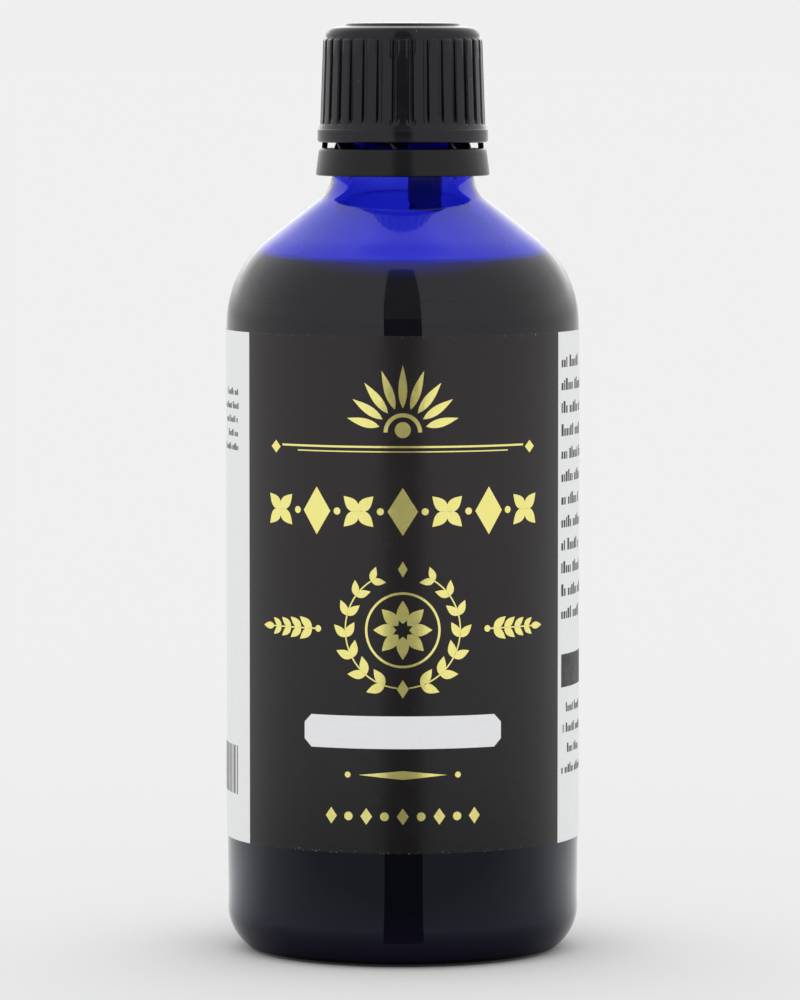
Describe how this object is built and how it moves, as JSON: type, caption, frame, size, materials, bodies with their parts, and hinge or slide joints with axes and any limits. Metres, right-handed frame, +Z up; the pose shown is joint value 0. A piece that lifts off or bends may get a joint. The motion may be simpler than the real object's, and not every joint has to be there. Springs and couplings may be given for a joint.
{
  "type": "glass dropper bottle with screw cap",
  "caption": "Round glass dropper bottle for bitters, with wrap label, press-in dropper insert, tamper-evident ring and a ribbed screw cap that unscrews and comes off.",
  "frame": {"origin": "middle of the base, on the surface the bottle stands on", "axes": "+Z up along the bottle's axis, -Y towards the front of the label, +X to the right of someone who faces the label"},
  "size_m": [0.0452, 0.0452, 0.1186],
  "materials": {
    "blue_glass": "polished cobalt blue glass",
    "bitters": "gloss, dark liquid",
    "label": "matte printed paper",
    "insert": "satin natural plastic",
    "ring": "satin black plastic",
    "liner": "matte white foam",
    "cap": "satin black plastic"
  },
  "bodies": {
    "bottle": {"glass_bottle": "blue_glass", "bitters_liquid": "bitters", "wrap_label": "label", "dropper_insert": "insert"},
    "ring": {"tamper_ring": "ring"},
    "liner": {"cap_liner": "liner"},
    "cap": {"cap_shell": "cap"}
  },
  "joints": [
    {"name": "tamper_ring_turn", "type": "hinge", "parent": "bottle", "child": "ring", "pos_m": [0, 0, 0.1], "axis": [0, 0, 1], "continuous": true},
    {"name": "cap_rise", "type": "slide", "parent": "bottle", "child": "liner", "axis": [0, 0, 1], "range_m": [0, 0.015]},
    {"name": "cap_turn", "type": "hinge", "parent": "liner", "child": "cap", "pos_m": [0, 0, 0.11], "axis": [0, 0, 1], "range_deg": [0, 1800]}
  ],
  "couplings": [
    {"joint": "cap_rise", "follows": "cap_turn", "m_per_rad": 0.00047746}
  ]
}
